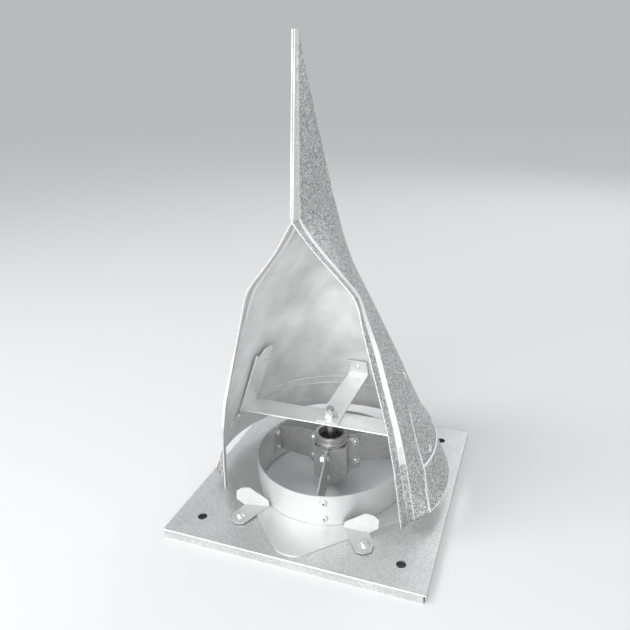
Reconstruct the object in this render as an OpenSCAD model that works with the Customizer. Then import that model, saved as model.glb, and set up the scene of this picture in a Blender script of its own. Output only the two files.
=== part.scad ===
// Rotating chimney cowl of galvanised sheet steel, in millimetres.
// A square base carries a round collar, and three spokes in the collar hold a hub.
// A vane-shaped hood turns on a shaft in the hub, and its mouth faces -Y at rest.
// The origin is the middle of the base's underside, with +Z up.

/* [Base] */
// Side of the square base plate
base_side = 250; // [246:1:300]
// Depth of the base's down-turned flange
base_flange = 9; // [7.5:0.5:14]
// Thickness of the base, collar plate, collar and hood sheets
sheet = 1; // [0.8:0.1:1.2]
// Distance between the corner bolt holes, along X and along Y
bolt_spacing = 196; // [190:1:204]
// Diameter of the corner bolt holes
bolt_hole_d = 9; // [6:0.5:11]
// Width of the open corner between two flanges
corner_slit = 2; // [1:0.5:4]

/* [Collar] */
// Side of the square collar plate, which lies turned by 45 degrees
plate_side = 183; // [180:1:190]
// Radius of the collar plate's corners
plate_corner_r = 23; // [15:1:30]
// Outside diameter of the collar
collar_d = 153; // [150:1:154]
// Height of the collar above the base plate's top
collar_rise = 33.5; // [32:0.5:38]
// How far the collar reaches below the base plate's top
collar_drop = 7; // [5:0.5:7]
// Gap round the collar in the base plate's hole
collar_gap = 4; // [3:0.5:6]

/* [Spokes] */
// Thickness of the spoke strips
spoke_sheet = 1.5; // [1:0.1:2]
// Compass angle of the first spoke
spoke_turn = -81; // [-85:1:-75]
// Height of a spoke's lower edge at the collar, above the base plate's top
spoke_low = 2.5; // [1:0.5:4]
// Height of a spoke's top edge at the collar
spoke_high = 31.5; // [29:0.5:31.5]
// How far a spoke's edges rise from the collar to the hub
spoke_climb = 11; // [8:0.5:12]
// How far the top edge bows up in the middle
spoke_bow = 2; // [0:0.5:4]
// Angle that a spoke's flange covers along the collar
flange_turn = 8.5; // [8:0.5:10]
// Length of the tab that overlaps the next spoke
tab_len = 12; // [11:0.5:14]
// Lower edge of the hub casing above the base plate's top
casing_low = 4.5; // [3:0.5:6]
// Top edge of the hub casing
casing_high = 43; // [41:0.5:44]

/* [Hub and shaft] */
// Outside radius of the hub tube
hub_r = 15.5; // [15:0.1:17]
// Lower end of the hub tube above the base plate's top
hub_low = 2.5; // [2:0.5:3]
// Top of the hub tube
hub_top = 54; // [52:0.5:58]
// Radius of the two rims at the hub's top
rim_r = 16.4; // [16:0.1:18]
// Outside diameter of a ball bearing
bearing_d = 26; // [24:0.5:26]
// Width of a ball bearing
bearing_w = 8; // [7:0.5:8]
// Diameter of the shaft, and of the bearings' bore
shaft_d = 10; // [9:0.5:10]
// Diameter of the shaft's threaded ends
thread_d = 8; // [6:0.5:8]
// Diameter of a bearing ball
ball_d = 4.8; // [4.2:0.1:5]
// Number of balls in a bearing
ball_count = 7; // [6:1:8]

/* [Hood] */
// Height of the hood's tip above the base plate's top
tip_h = 424; // [400:2:450]
// Height at which the mouth's two edges meet
apex_h = 285; // [280:1:295]
// Height of the mouth's shoulders
shoulder_h = 229; // [222:1:235]
// Half the width of the mouth at its shoulders
shoulder_x = 42; // [40:0.5:45]
// Height of the mouth's lower bend
knee_h = 112; // [105:1:120]
// Half the width of the mouth at its lower bend
knee_x = 76.5; // [75:0.5:78]
// Height of the mouth's lower ends
foot_h = 8; // [7:0.5:9]
// Half the width of the mouth at its lower ends
foot_x = 88.5; // [87:0.5:89]
// Distance of the mouth from the axis
mouth_y = 68; // [66:0.5:70]
// Height of the hood's rear lower edge
skirt_h = 16; // [15.5:0.5:20]
// Height of the seam between the hood sheet and the skirt
seam_h = 56; // [54:0.5:58]
// How far the skirt's top laps inside the hood sheet
seam_lap = 8; // [7:0.5:9]
// How far the hood's back closes in over each millimetre of height
hood_taper = 0.3; // [0.29:0.005:0.31]
// Height at which the hood's back would close to a point
cone_h = 413; // [408:1:418]

/* [Hood carrier] */
// Height of the crossbar's underside above the base plate's top
bar_h = 69; // [67:0.5:72]
// Width of the crossbar
bar_w = 25; // [20:0.5:26]
// Thickness of the crossbar and the rear arm
bar_t = 2; // [1.5:0.1:2.5]
// Height that the crossbar's legs reach above the crossbar
leg_rise = 70; // [60:1:75]
// Width of the rear arm
arm_w = 23; // [18:0.5:24]
// Length of the rear arm's upturned end
arm_end = 20; // [14:0.5:24]

/* [Clips] */
// Distance of the clip pivots from the middle, along X
clip_x = 62; // [61:0.5:64]
// Distance of the clip pivots from the middle, along Y
clip_y = 88; // [87:0.5:90]
// Thread diameter of the clip screws
clip_screw_d = 5; // [4:0.5:5]
// Angle of a clip's raised lobe above the plate
lobe_tilt = 75; // [65:1:85]
// Thickness of a clip
clip_sheet = 1.2; // [1:0.1:1.5]
// Turn of the right-hand clips at rest
clip_turn_right = 2; // [0:1:4]
// Turn of the left-hand clips at rest
clip_turn_left = -12; // [-12:1:0]

/* [Hidden] */
$fn = 64;

// Clearances: between pieces that only touch, in running fits and at pins through holes
touch = 0.02;
run_gap = 0.05;
hole_gap = 0.1;
wall_gap = 0.3;

// Fasteners: blind rivets, the hub's small screws and nuts, and the washers
rivet_r = 2;
rivet_head_r = 4;
rivet_head_h = 1.5;
rivet_tail_r = 2.9;
hub_screw_d = 4;
hub_nut_across = 7;
hub_nut_h = 3.2;
clip_washer_d = 11;
clip_nut_across = 8;
clip_nut_h = 4;

// Colours of the finishes
zinc = [0.74, 0.75, 0.76];
zinc_bright = [0.84, 0.85, 0.86];
zinc_dark = [0.42, 0.43, 0.44];
bearing_steel = [0.62, 0.63, 0.65];

// Heights in the part's frame start from the base plate's top
plate_top = base_flange;

// A flat strip's outline: the centre line is moved to each side by half the thickness
function unit(v) = v / norm(v);
function side_of(v) = [-v[1], v[0]];
function mitre(a, b) =
    let (s = side_of(a) + side_of(b))
    s / (1 + a * b);
function steps(line) = [for (i = [0 : len(line) - 2]) unit(line[i + 1] - line[i])];
function moved(line, off) =
    let (d = steps(line), last = len(line) - 1)
    [for (i = [0 : last])
        line[i] + off * mitre(d[max(i - 1, 0)], d[min(i, last - 1)])];
function backwards(line) = [for (i = [len(line) - 1 : -1 : 0]) line[i]];
function ribbon(line, t) = concat(moved(line, t / 2), backwards(moved(line, -t / 2)));

// Fasteners stand on Z = 0 and point down, with the head above
module hex(across, h) {
    cylinder(d = across / cos(30), h = h, $fn = 6);
}

module nut(across, h, bore_d) {
    difference() {
        hex(across, h);
        translate([0, 0, -1]) cylinder(d = bore_d + 2 * touch, h = h + 2);
    }
}

module washer(d, h, bore_d) {
    difference() {
        cylinder(d = d, h = h);
        translate([0, 0, -1]) cylinder(d = bore_d + 2 * hole_gap, h = h + 2);
    }
}

module dome(r, h) {
    ball_r = (r * r + h * h) / (2 * h);
    rotate_extrude()
        intersection() {
            translate([0, h - ball_r]) circle(r = ball_r);
            square([r, h]);
        }
}

module blind_rivet(grip, tail_h) {
    dome(rivet_head_r, rivet_head_h);
    translate([0, 0, -grip - tail_h]) cylinder(r = rivet_r, h = grip + tail_h + rivet_head_h / 2);
    translate([0, 0, -grip - tail_h]) cylinder(r = rivet_tail_r, h = tail_h);
}

module rivet_hole(depth) {
    cylinder(r = rivet_r + hole_gap, h = depth, center = true);
}

module pan_screw(d, head_d, head_h, len) {
    difference() {
        union() {
            dome(head_d / 2, head_h);
            translate([0, 0, -len]) cylinder(d = d, h = len + head_h / 2);
        }
        for (a = [0, 90])
            rotate(a)
                translate([-head_d / 4, -head_d / 20, head_h * 0.55])
                    cube([head_d / 2, head_d / 10, head_h]);
    }
}

// Base plate: a shallow tray with open corners, corner holes and the flue hole
collar_r = collar_d / 2;
collar_in = collar_r - sheet;
clip_pivots = [for (sy = [-1, 1], sx = [1, -1]) [sx * clip_x, sy * clip_y]];

module base_plate() {
    half = base_side / 2;
    flange_len = base_side - 2 * corner_slit;
    color(zinc)
        difference() {
            union() {
                translate([-half, -half, plate_top - sheet])
                    cube([base_side, base_side, sheet]);
                for (a = [0 : 90 : 270])
                    rotate(a)
                        translate([-flange_len / 2, -half, 0])
                            cube([flange_len, sheet, base_flange]);
            }
            translate([0, 0, -1]) cylinder(r = collar_r + collar_gap, h = base_flange + 2, $fn = 128);
            for (x = [-1, 1], y = [-1, 1])
                translate([x * bolt_spacing / 2, y * bolt_spacing / 2, -1])
                    cylinder(d = bolt_hole_d, h = base_flange + 2);
            for (p = clip_pivots)
                translate([p[0], p[1], -1])
                    cylinder(d = clip_screw_d + 2 * hole_gap, h = base_flange + 2);
        }
}

module collar_plate() {
    straight = plate_side / 2 - plate_corner_r;
    color(zinc_bright)
        translate([0, 0, plate_top])
            difference() {
                rotate(45)
                    union() {
                        for (a = [0, 90])
                            rotate(a)
                                translate([-plate_side / 2, -straight, 0])
                                    cube([plate_side, 2 * straight, sheet]);
                        for (x = [-1, 1], y = [-1, 1])
                            translate([x * straight, y * straight, 0])
                                cylinder(r = plate_corner_r, h = sheet);
                    }
                translate([0, 0, -1]) cylinder(r = collar_r + touch, h = sheet + 2, $fn = 128);
            }
}

// Spokes: each is one strip, riveted to the collar and wrapped round a third of the hub
flange_r = collar_in - touch;
web_end = flange_r - spoke_sheet / 2;
casing_r = (hub_r + touch + spoke_sheet / 2) / cos(30);
rivet_turn = flange_turn * 0.58;
rivet_heights = [spoke_low + 6, spoke_high - 5.5];
screw_r = casing_r + tab_len - 5.5;
screw_heights = [casing_low + 11, casing_high - 5];
spoke_angles = [for (i = [0 : 2]) spoke_turn + 120 * i];

module collar() {
    color(zinc_bright)
        difference() {
            translate([0, 0, plate_top - collar_drop])
                cylinder(r = collar_r, h = collar_drop + collar_rise, $fn = 128);
            translate([0, 0, -1]) cylinder(r = collar_in, h = plate_top + collar_rise + 2, $fn = 128);
            for (a = spoke_angles, h = rivet_heights)
                rotate(a + rivet_turn)
                    translate([collar_in, 0, plate_top + h])
                        rotate([0, 90, 0]) rivet_hole(4 * sheet);
        }
}

function web_outline() =
    let (run = web_end - casing_r,
        bow = [for (t = [0 : 0.125 : 1])
            [web_end - t * run,
                spoke_high + (casing_high + 2.5 - spoke_high) * t + spoke_bow * 4 * t * (1 - t)]])
    concat([[casing_r, spoke_low + spoke_climb - 2], [web_end, spoke_low]], bow);

module spoke(turn) {
    far = casing_r * [cos(120), sin(120)];
    out = [cos(120), sin(120)];
    side = spoke_sheet * [out[1], -out[0]] * (1 + touch / spoke_sheet);
    wrap = [[casing_r + 0.5, 0], [casing_r, 0], casing_r * [cos(60), sin(60)],
        far + side - out * spoke_sheet / 2, far + side + out * tab_len];
    color(zinc_dark)
        rotate(turn)
            translate([0, 0, plate_top])
                difference() {
                    union() {
                        translate([0, spoke_sheet / 2, 0])
                            rotate([90, 0, 0])
                                linear_extrude(spoke_sheet) polygon(web_outline());
                        translate([0, 0, casing_low])
                            linear_extrude(casing_high - casing_low)
                                polygon(ribbon(wrap, spoke_sheet));
                        rotate_extrude(angle = flange_turn, $fn = 128)
                            translate([flange_r - spoke_sheet, spoke_low])
                                square([spoke_sheet, spoke_high - spoke_low]);
                    }
                    for (h = rivet_heights)
                        rotate(rivet_turn)
                            translate([flange_r, 0, h])
                                rotate([0, 90, 0]) rivet_hole(4 * spoke_sheet);
                    for (a = [0, 120], h = screw_heights)
                        rotate(a)
                            translate([screw_r, 0, h])
                                rotate([90, 0, 0])
                                    cylinder(d = hub_screw_d + 2 * hole_gap, h = 9, center = true);
                }
}

module spoke_front() { spoke(spoke_angles[0]); }
module spoke_right() { spoke(spoke_angles[1]); }
module spoke_left() { spoke(spoke_angles[2]); }

module spoke_rivets() {
    color(zinc_bright)
        for (a = spoke_angles, h = rivet_heights)
            rotate(a + rivet_turn)
                translate([collar_r, 0, plate_top + h])
                    rotate([0, 90, 0])
                        blind_rivet(sheet + spoke_sheet + wall_gap, 3.2);
}

module hub_fastener_places() {
    for (a = spoke_angles, h = screw_heights)
        rotate(a)
            translate([screw_r, 0, plate_top + h])
                rotate([90, 0, 0]) children();
}

module hub_screws() {
    stack = 2 * spoke_sheet + touch;
    color(zinc_bright)
        hub_fastener_places()
            translate([0, 0, -spoke_sheet / 2 - touch])
                rotate([180, 0, 0])
                    pan_screw(hub_screw_d, hub_nut_across, 0.6 * hub_screw_d, stack + hub_nut_h + 1.2);
}

module hub_nuts() {
    color(zinc_bright)
        hub_fastener_places()
            translate([0, 0, spoke_sheet * 1.5 + 2 * touch]) nut(hub_nut_across, hub_nut_h, hub_screw_d);
}

// Hub tube: two bearing seats on a shoulder, circlip grooves and two rims at the top
bearing_r = bearing_d / 2;
seat_r = bearing_r + touch;
bore_r = bearing_r - 2;
clip_wire = 1.2;
low_bearing = hub_low + 2.6;
high_bearing = hub_top - 8 - bearing_w;
bearing_heights = [low_bearing, high_bearing];
groove_heights = [low_bearing - clip_wire - touch, high_bearing + bearing_w + touch];

module hub_tube() {
    color(zinc_dark)
        translate([0, 0, plate_top])
            difference() {
                union() {
                    translate([0, 0, hub_low]) cylinder(r = hub_r, h = hub_top - hub_low);
                    for (z = [hub_top - 3.5, hub_top - 9.5])
                        translate([0, 0, z]) cylinder(r = rim_r, h = 3);
                }
                translate([0, 0, hub_low - 1]) cylinder(r = bore_r, h = hub_top - hub_low + 2);
                translate([0, 0, hub_low - 1])
                    cylinder(r = seat_r, h = low_bearing + bearing_w - hub_low + 1);
                translate([0, 0, high_bearing]) cylinder(r = seat_r, h = hub_top);
                for (z = groove_heights)
                    translate([0, 0, z - touch])
                        cylinder(r = seat_r + 0.8, h = clip_wire + 2 * touch);
            }
}

module hub_circlips() {
    color(zinc_dark)
        for (z = groove_heights)
            translate([0, 0, plate_top + z])
                difference() {
                    cylinder(r = seat_r + 0.7, h = clip_wire);
                    translate([0, 0, -1]) cylinder(r = seat_r - 1.8, h = clip_wire + 2);
                    translate([0, -1.5, -1]) cube([bearing_d, 3, clip_wire + 2]);
                }
}

// Ball bearings: the races have a groove that the balls roll in
shaft_r = shaft_d / 2;
pitch_r = (bearing_r + shaft_r) / 2;
race_gap = ball_d / 2 - 0.6;
inner_race_r = pitch_r - race_gap + 0.3;
outer_race_r = pitch_r + race_gap - 0.3;

module at_bearings() {
    for (z = bearing_heights)
        translate([0, 0, plate_top + z]) children();
}

module race(r_in, r_out) {
    rotate_extrude()
        difference() {
            translate([r_in, 0]) square([r_out - r_in, bearing_w]);
            translate([pitch_r, bearing_w / 2]) circle(r = ball_d / 2 + run_gap);
        }
}

module bearing_outer_rings() { color(bearing_steel) at_bearings() race(outer_race_r, bearing_r); }

module bearing_inner_rings() {
    color(bearing_steel) at_bearings() race(shaft_r + touch, inner_race_r);
}

module bearing_shields() {
    color(zinc_dark)
        at_bearings()
            for (z = [0.3, bearing_w - 0.6])
                translate([0, 0, z])
                    difference() {
                        cylinder(r = outer_race_r - touch, h = 0.3);
                        translate([0, 0, -1]) cylinder(r = inner_race_r + 0.25, h = 3);
                    }
}

module at_balls() {
    for (i = [0 : ball_count - 1])
        rotate(i * 360 / ball_count)
            translate([pitch_r, 0, bearing_w / 2]) children();
}

module bearing_balls() { color(bearing_steel) at_bearings() at_balls() sphere(d = ball_d); }

module bearing_cages() {
    color(bearing_steel)
        at_bearings()
            difference() {
                translate([0, 0, bearing_w / 2 - 1.1])
                    rotate_extrude()
                        translate([pitch_r - 0.6, 0]) square([1.2, 2.2]);
                at_balls() sphere(d = ball_d + 4 * run_gap);
            }
}

// Shaft and what is clamped on it
bar_top = bar_h + bar_t;
arm_top = bar_top + bar_t + touch;
sleeve_low = low_bearing + bearing_w + touch;
sleeve_high = high_bearing - touch;
nut_h = 6.5;
nut_across = 13;
washer_h = 1.5;

module shaft() {
    low_end = low_bearing - touch;
    color(zinc_bright)
        translate([0, 0, plate_top])
            union() {
                difference() {
                    translate([0, 0, low_end]) cylinder(r = shaft_r, h = bar_h - low_end - touch);
                    translate([0, 0, high_bearing + bearing_w + touch])
                        difference() {
                            cylinder(r = shaft_r + 1, h = clip_wire + 2 * touch);
                            cylinder(r = shaft_r - 0.6, h = clip_wire + 2 * touch);
                        }
                }
                translate([0, 0, low_end - washer_h - nut_h - 1.5])
                    cylinder(d = thread_d, h = washer_h + nut_h + 2);
                translate([0, 0, bar_h - 1])
                    cylinder(d = thread_d, h = arm_top - bar_h + washer_h + nut_h + 2.4);
            }
}

module spacer_sleeve() {
    color(zinc)
        translate([0, 0, plate_top + sleeve_low])
            difference() {
                cylinder(r = inner_race_r - 0.2, h = sleeve_high - sleeve_low);
                translate([0, 0, -1]) cylinder(r = shaft_r + touch, h = sleeve_high);
            }
}

module shaft_circlip() {
    color(zinc_dark)
        translate([0, 0, plate_top + high_bearing + bearing_w + 2 * touch])
            difference() {
                cylinder(r = inner_race_r, h = clip_wire);
                translate([0, 0, -1]) cylinder(r = shaft_r - 0.5, h = clip_wire + 2);
                translate([0, -1.2, -1]) cube([bearing_d, 2.4, clip_wire + 2]);
            }
}

module lower_washer() {
    color(zinc_bright)
        translate([0, 0, plate_top + low_bearing - 2 * touch - washer_h])
            washer(2 * inner_race_r, washer_h, thread_d);
}

module lock_nut() {
    color(zinc_bright)
        translate([0, 0, plate_top + low_bearing - 3 * touch - washer_h - nut_h])
            nut(nut_across, nut_h, thread_d);
}

module top_washer() {
    color(zinc_bright) translate([0, 0, plate_top + arm_top + touch]) washer(17, washer_h, thread_d);
}

module top_nut() {
    color(zinc_bright)
        translate([0, 0, plate_top + arm_top + washer_h + 2 * touch]) nut(nut_across, nut_h, thread_d);
}

// Hood: half of its section at height h, in plan, from the mouth's edge to the back.
// The rim is a leg along Y and a step along X. Then comes a flat side to a crease,
// and a curve from the crease to the back, which is a cone up to the top of the lap.
lap_h = seam_h + seam_lap;
crease_turn = 18;
fold_h = 236;
fin_start = apex_h + 6;
fin_step = 0.8;
tip_front = -57;
tip_back = -48.6;
apex_front = -mouth_y - 10;

function cone_r(h) = hood_taper * (cone_h - h);
function arc_handle(h) = 4 / 3 * tan((90 + crease_turn) / 4) * cone_r(h);
function crease_x(h) = cone_r(h) * cos(crease_turn);
function crease_y(h) = -cone_r(h) * sin(crease_turn);

mouth_line = [[foot_h, foot_x], [knee_h, knee_x], [shoulder_h, shoulder_x], [apex_h, 0]];
front_line = [[foot_h, -mouth_y], [shoulder_h, -mouth_y - 1], [apex_h, apex_front], [tip_h, tip_front]];
back_line = [[foot_h, cone_r(foot_h)], [fold_h, cone_r(fold_h)], [tip_h, tip_back]];
rim_leg = [[foot_h, 11.4], [knee_h, 6.5], [shoulder_h, 3.2], [apex_h - 8, 4], [fin_start, 15], [tip_h, 4]];
rim_flare = [[foot_h, 3.6], [knee_h, 2], [shoulder_h, 1], [apex_h - 12, 1], [fin_start, 0]];
step_line = [[foot_h, 4.9], [knee_h, 4.3], [shoulder_h, 5.5], [apex_h - 12, 4.5], [fin_start, fin_step]];
step_back = [[foot_h, 4.3], [knee_h, 2], [shoulder_h, 1.5], [fin_start, 1.2]];
side_x = [[lap_h, crease_x(lap_h)], [bar_h + 6, 98], [130, 75.5], [155, 66.5], [180, 56.5], [205, 45],
    [shoulder_h, 33.5], [257, 16], [apex_h, 4], [fin_start, sheet + fin_step - 0.2]];
side_y = [[lap_h, crease_y(lap_h)], [130, -6], [180, -6], [shoulder_h, -8], [apex_h, -10], [300, -12],
    [tip_h, tip_back - 2]];
front_pull = [[lap_h, arc_handle(lap_h)], [bar_h + 6, 52], [130, 36], [180, 26], [shoulder_h, 18],
    [250, 12], [apex_h, 8], [tip_h, 0.5]];
back_pull = [[lap_h, arc_handle(lap_h)], [bar_h + 6, 50], [130, 32], [180, 18], [shoulder_h, 5],
    [apex_h, 1.4], [fin_start, 0.9], [tip_h, 0.6]];
side_lean = [[lap_h, crease_turn], [bar_h + 6, 5], [130, -6], [180, -14], [shoulder_h, -20], [250, -16],
    [apex_h, -3], [tip_h, 0]];

function crease(h) = h <= lap_h ? [crease_x(h), crease_y(h)] : [lookup(h, side_x), lookup(h, side_y)];
function lean(h) = h <= lap_h ? crease_turn : lookup(h, side_lean);
function pull_a(h) = h <= lap_h ? arc_handle(h) : lookup(h, front_pull);
function pull_b(h) = h <= lap_h ? arc_handle(h) : lookup(h, back_pull);
function bezier(a, b, c, d, t) =
    pow(1 - t, 3) * a + 3 * pow(1 - t, 2) * t * b + 3 * (1 - t) * t * t * c + pow(t, 3) * d;

function rim_line(h) =
    let (edge = [lookup(h, mouth_line) + (h > fin_start ? sheet : sheet / 2), lookup(h, front_line)],
        bend = edge + [lookup(h, rim_flare), lookup(h, rim_leg)])
    [edge, bend, bend + [lookup(h, step_line), lookup(h, step_back)]];

function back_curve(h, n) =
    let (a = crease(h), d = [0, lookup(h, back_line)],
        b = a + pull_a(h) * [sin(lean(h)), cos(lean(h))],
        c = d + [pull_b(h), 0])
    [for (i = [0 : n]) bezier(a, b, c, d, i / n)];

function outer_line(h, n) = concat(rim_line(h), back_curve(h, n));
function inner_line(line) =
    let (m = moved(line, sheet), last = len(line) - 1)
    [for (i = [0 : last])
        i == last ? [0, line[last][1] - sheet] : [max(m[i][0], 0), min(m[i][1], line[last][1] - sheet)]];

// Half of the hood as one closed shell. The lower rows are the side panel under the seam,
// and the upper rows go on to the back. Each row holds its outer line, then its inner line.
curve_n = 14;
hood_heights = concat([seam_h, lap_h, bar_h + 6], [for (h = [90 : 15 : 215]) h],
    [shoulder_h, fold_h, 246, 257, 266, apex_h - 10, apex_h, fin_start, 310, 340, 370, 400, tip_h]);
panel_steps = [0, 0.25, 0.5, 0.75];

function upper_row(h) =
    let (line = outer_line(h, curve_n))
    [for (p = concat(line, backwards(inner_line(line)))) [p[0], p[1], h]];

function panel_row(u) =
    let (h_front = foot_h + u * (seam_h - foot_h), h_back = skirt_h + u * (seam_h - skirt_h),
        line = concat(rim_line(h_front), [crease(h_back)]), inner = moved(line, sheet),
        hs = [h_front, h_front, h_front, h_back])
    concat([for (i = [0 : 3]) [line[i][0], line[i][1], hs[i]]],
        [for (i = [3 : -1 : 0]) [inner[i][0], inner[i][1], hs[i]]]);

// Two triangles between a row's points i and j and the points k and l above them
function pair(i, j, k, l) = [[i, j, k], [j, l, k]];

module half_hood() {
    low_rows = [for (u = panel_steps) panel_row(u)];
    high_rows = [for (h = hood_heights) upper_row(h)];
    n = len(high_rows[0]);
    m = len(low_rows) - 1;
    base = 8 * (m + 1);
    last = base + n * (len(high_rows) - 1);
    bottom = [for (i = [0 : 2]) each pair(7 - i, 6 - i, i, i + 1)];
    low = [for (r = [0 : m - 1], i = [0 : 7])
        let (j = (i + 1) % 8)
        each pair(8 * r + i, 8 * r + j, 8 * r + 8 + i, 8 * r + 8 + j)];
    join = [for (i = [0 : 7])
        let (j = (i + 1) % 8, k = i < 4 ? i : n - 8 + i, l = j < 4 ? j : n - 8 + j)
        each pair(8 * m + i, 8 * m + j, base + k, base + l)];
    seam = [for (i = [3 : n / 2 - 2])
        each pair(base + n - 1 - i, base + n - 2 - i, base + i, base + i + 1)];
    high = [for (r = [0 : len(high_rows) - 2], i = [0 : n - 1])
        let (j = (i + 1) % n, q = base + n * r)
        each pair(q + i, q + j, q + n + i, q + n + j)];
    top = [for (i = [0 : n / 2 - 2])
        each pair(last + i, last + i + 1, last + n - 1 - i, last + n - 2 - i)];
    polyhedron(
        points = concat([for (row = low_rows, p = row) p], [for (row = high_rows, p = row) p]),
        faces = [for (f = concat(bottom, low, join, seam, high, top)) [f[2], f[1], f[0]]],
        convexity = 10);
}

module hood_sheet() {
    color(zinc)
        translate([0, 0, plate_top])
            difference() {
                union() {
                    half_hood();
                    mirror([1, 0, 0]) half_hood();
                }
                for (m = [0, 1])
                    mirror([m, 0, 0]) at_leg_rivet() rivet_hole(12);
                at_arm_rivet() rivet_hole(12);
                at_seam_rivets() rivet_hole(8);
            }
}

// Where the hood's outside lies at height h: how far to the right at y, and how far back at x
function between(a, b, k, at) = a + (b - a) * (at - a[k]) / (b[k] - a[k]);
function wall_x(h, y) =
    let (line = outer_line(h, curve_n),
        n = [for (i = [0 : len(line) - 2]) if (line[i][1] <= y && line[i + 1][1] > y) i][0])
    between(line[n], line[n + 1], 1, y)[0];
function wall_y(h, x) =
    let (line = back_curve(h, curve_n),
        n = [for (i = [0 : len(line) - 2]) if (line[i][0] > x && line[i + 1][0] <= x) i][0])
    between(line[n], line[n + 1], 0, x)[1];

// Skirt: a conical band under the seam, with a bead along its top, which ends
// at the creases
bead_r = 1.5;
end_turn = 0.5;

module skirt_band() {
    inset = sheet + wall_gap;
    wall = [[cone_r(skirt_h), skirt_h], [cone_r(seam_h - 1), seam_h - 1],
        [cone_r(seam_h) - inset, seam_h - touch], [cone_r(lap_h) - inset, lap_h]];
    inside = [for (p = backwards(wall)) [p[0] - sheet, p[1]]];
    bead_h = seam_h - bead_r - touch;
    color(zinc)
        translate([0, 0, plate_top])
            difference() {
                rotate(-crease_turn + end_turn)
                    rotate_extrude(angle = 180 + 2 * (crease_turn - end_turn), $fn = 128)
                        union() {
                            polygon(concat(wall, inside));
                            translate([cone_r(bead_h), bead_h]) circle(r = bead_r, $fn = 24);
                        }
                at_seam_rivets() rivet_hole(8);
            }
}

// Crossbar: its ends turn up along the hood's side walls
leg_foot = bar_top + 3;
leg_top = bar_top + leg_rise;
leg_rivet_h = leg_top - 11;
leg_turn = 11;
leg_swing = bar_w / 2 * sin(leg_turn);
function leg_room(h) =
    min(wall_x(h, -bar_w / 2) - leg_swing, wall_x(h, bar_w / 2) + leg_swing) - sheet - 2 * wall_gap;
leg_ends = [leg_room(leg_foot), leg_room(leg_top)];
function leg_line(h) = leg_ends[0] + (leg_ends[1] - leg_ends[0]) * (h - leg_foot) / (leg_top - leg_foot);
leg_shift = max([for (h = [leg_foot : 4 : leg_top]) leg_line(h) - leg_room(h)]);
function leg_x(h) = leg_line(h) - leg_shift;

module crossbar() {
    foot = [leg_x(bar_h), bar_h];
    top = [leg_x(leg_top), leg_top];
    skin = side_of(unit(top - foot)) * bar_t;
    leg = [foot, top, top + skin, foot + skin];
    color(zinc_bright)
        translate([0, 0, plate_top])
            difference() {
                union() {
                    reach = foot[0] - bar_t / 2;
                    translate([-reach, -bar_w / 2, bar_h]) cube([2 * reach, bar_w, bar_t]);
                    for (m = [0, 1])
                        mirror([m, 0, 0])
                            translate([foot[0], 0, 0])
                                rotate(leg_turn)
                                    translate([-foot[0], bar_w / 2, 0])
                                        rotate([90, 0, 0]) linear_extrude(bar_w) polygon(leg);
                }
                translate([0, 0, bar_h - 1]) cylinder(d = thread_d + 2 * hole_gap, h = bar_t + 2);
                for (m = [0, 1])
                    mirror([m, 0, 0])
                        at_leg_rivet() rivet_hole(24);
                for (m = [0, 1], y = [-1, 1])
                    mirror([m, 0, 0])
                        translate([leg_x(leg_top), y * bar_w / 2, leg_top])
                            rotate([0, 90, 0]) rotate(45) cube([11, 11, 40], center = true);
            }
}

// A rivet stands on the outside of the wall, square to it
leg_slope = (wall_x(leg_rivet_h + 5, 0) - wall_x(leg_rivet_h - 5, 0)) / 10;
leg_drift = (wall_x(leg_rivet_h, 5) - wall_x(leg_rivet_h, -5)) / 10;
leg_grip = wall_x(leg_rivet_h, 0) - leg_x(leg_rivet_h) + bar_t + 2.5;
rivet_lift = 0.15;

module at_leg_rivet() {
    translate([wall_x(leg_rivet_h, 0) + rivet_lift, 0, leg_rivet_h])
        rotate([0, 90 + atan(leg_slope), -atan(leg_drift)]) children();
}

arm_low = bar_top + touch;
arm_top_face = arm_low + bar_t;
arm_rivet_h = arm_top_face + arm_end / 2;
arm_slope = (wall_y(arm_rivet_h + 5, 2) - wall_y(arm_rivet_h - 5, 2)) / 10;

module at_arm_rivet() {
    translate([0, wall_y(arm_rivet_h, 2) + rivet_lift, arm_rivet_h])
        rotate([-90 - atan(arm_slope), 0, 0]) children();
}

// Rear arm: it lies on the crossbar, and its end turns up along the hood's back
function arm_y(h) = wall_y(h, arm_w / 2 + 1) - sheet - 2 * wall_gap;

module rear_arm() {
    end_h = arm_low + arm_end;
    foot = [arm_y(arm_low + 3), arm_low + 3];
    top = [arm_y(end_h), end_h];
    line = [[-bar_w / 2, arm_low], [foot[0] - 1, arm_low], foot, top, [top[0] - bar_t, end_h],
        [foot[0] - bar_t, foot[1]], [foot[0] - bar_t - 1, arm_top_face], [-bar_w / 2, arm_top_face]];
    color(zinc_bright)
        translate([0, 0, plate_top])
            difference() {
                translate([-arm_w / 2, 0, 0])
                    rotate([90, 0, 90]) linear_extrude(arm_w) polygon(line);
                translate([0, 0, bar_h - 1]) cylinder(d = thread_d + 2 * hole_gap, h = 2 * bar_t + 3);
                at_arm_rivet() rivet_hole(20);
            }
}

module leg_rivets() {
    color(zinc_bright)
        translate([0, 0, plate_top]) {
            for (m = [0, 1])
                mirror([m, 0, 0]) at_leg_rivet() blind_rivet(leg_grip, 2);
            at_arm_rivet() blind_rivet(sheet + bar_t + 3.5, 2);
        }
}

// Rivets through the hood sheet and the skirt's top edge
seam_turns = [4, 176];
seam_rivet_h = seam_h + rivet_head_r + touch;

module at_seam_rivets() {
    for (a = seam_turns)
        rotate(a)
            translate([cone_r(seam_rivet_h) + touch, 0, seam_rivet_h])
                rotate([0, 90 - atan(hood_taper), 0]) children();
}

module seam_rivets() {
    color(zinc_bright)
        translate([0, 0, plate_top])
            at_seam_rivets() blind_rivet(2 * sheet + 3 * wall_gap, 2.5);
}

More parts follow.
